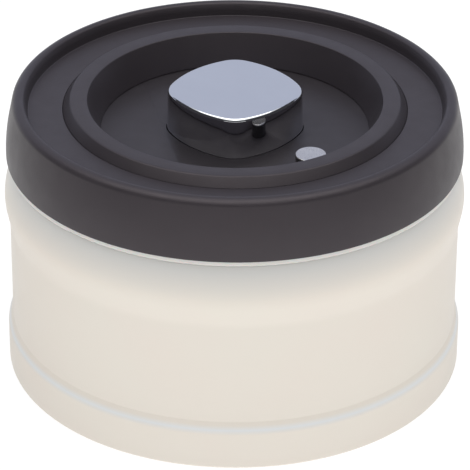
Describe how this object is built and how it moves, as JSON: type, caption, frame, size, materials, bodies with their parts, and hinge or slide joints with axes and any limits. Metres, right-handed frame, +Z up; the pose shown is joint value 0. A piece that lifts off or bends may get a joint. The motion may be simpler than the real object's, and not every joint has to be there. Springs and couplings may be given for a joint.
{
  "type": "vacuum seal canister",
  "caption": "Round coated-steel food canister with a lift-off plastic lid that holds a push pump, a soft-square button with a chrome cap and a small air release button.",
  "frame": {"origin": "centre of the base, on the surface the canister stands on", "axes": "+Z up along the canister's axis, -Y towards the front, +X towards the release button"},
  "size_m": [0.126, 0.126, 0.0813],
  "materials": {
    "cream_coat": "satin pearl coating on drawn steel",
    "lid_plastic": "fine matte moulded plastic",
    "floor_plastic": "semi-matte moulded plastic",
    "button_gloss": "polished black plastic",
    "cap_chrome": "mirror chrome plating",
    "release_silver": "satin silver plate",
    "pan_plastic": "matte moulded plastic",
    "pump_plastic": "natural moulded plastic",
    "silicone": "translucent white silicone",
    "valve_silicone": "grey silicone",
    "spring_steel": "drawn spring wire",
    "screw_steel": "plated steel"
  },
  "bodies": {
    "canister": {"canister_body": "cream_coat"},
    "lid": {"lid_cover": "lid_plastic", "well_collar": "lid_plastic", "well_floor": "floor_plastic", "lid_base": "pan_plastic", "lid_screws": "screw_steel", "main_seal": "silicone", "skirt_seal": "silicone", "pump_cylinder": "pump_plastic", "cylinder_seal": "silicone", "pump_screws": "screw_steel", "inlet_valve": "valve_silicone", "inlet_strainer": "screw_steel", "return_spring": "spring_steel", "release_spring": "spring_steel"},
    "pump": {"push_button": "pan_plastic", "button_cap": "cap_chrome", "piston": "pump_plastic", "piston_seal": "valve_silicone", "exhaust_flap": "valve_silicone", "piston_screw": "screw_steel"},
    "release": {"release_button": "button_gloss", "release_cap": "release_silver", "release_seal": "silicone", "release_clip": "screw_steel"}
  },
  "joints": [
    {"name": "lid_lift", "type": "slide", "parent": "canister", "child": "lid", "axis": [0, 0, 1], "range_m": [0, 0.06]},
    {"name": "pump_press", "type": "slide", "parent": "lid", "child": "pump", "axis": [0, 0, -1], "range_m": [0, 0.008], "stiffness_N_per_m": 600, "springref_m": -0.01, "deforming": ["return_spring"]},
    {"name": "release_press", "type": "slide", "parent": "lid", "child": "release", "axis": [0, 0, -1], "range_m": [0, 0.0025], "stiffness_N_per_m": 400, "springref_m": -0.004, "deforming": ["release_spring"]}
  ]
}
